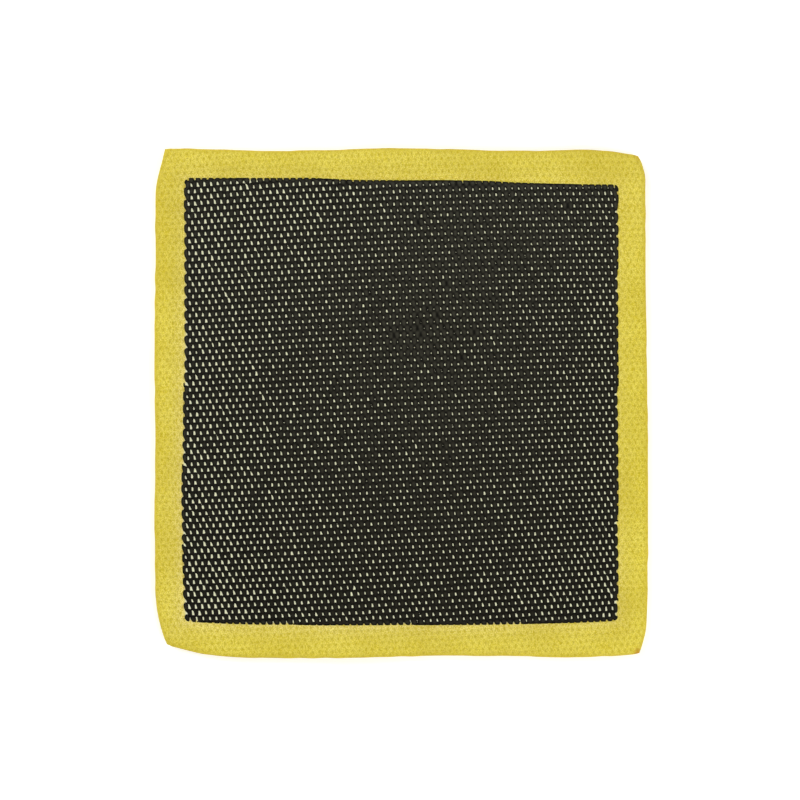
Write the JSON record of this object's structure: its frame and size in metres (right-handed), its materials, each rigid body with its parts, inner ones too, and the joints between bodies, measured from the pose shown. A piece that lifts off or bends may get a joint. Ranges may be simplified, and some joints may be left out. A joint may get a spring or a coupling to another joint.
{
  "type": "clay towel",
  "caption": "Square microfibre towel with a rubbery polymer clay coat on its front face, for rubbing bonded grit off car paint, glass and wheels.",
  "frame": {"origin": "middle of the flat back, on the surface the towel lies on", "axes": "+Z out of the clay coat, up from the surface; +Y along the slightly longer side, away from the edge that holds the closing stitch; +X along the shorter side"},
  "size_m": [0.295, 0.305, 0.006],
  "materials": {
    "front_cloth": "matte",
    "back_cloth": "matte",
    "clay": "matte",
    "thread": "matte"
  },
  "bodies": {
    "root": {"back_cloth": "back_cloth", "front_cloth": "front_cloth", "clay_layer": "clay", "seam_needle_thread": "thread", "seam_bobbin_thread": "thread", "closing_needle_thread": "thread", "closing_bobbin_thread": "thread"}
  },
  "joints": []
}
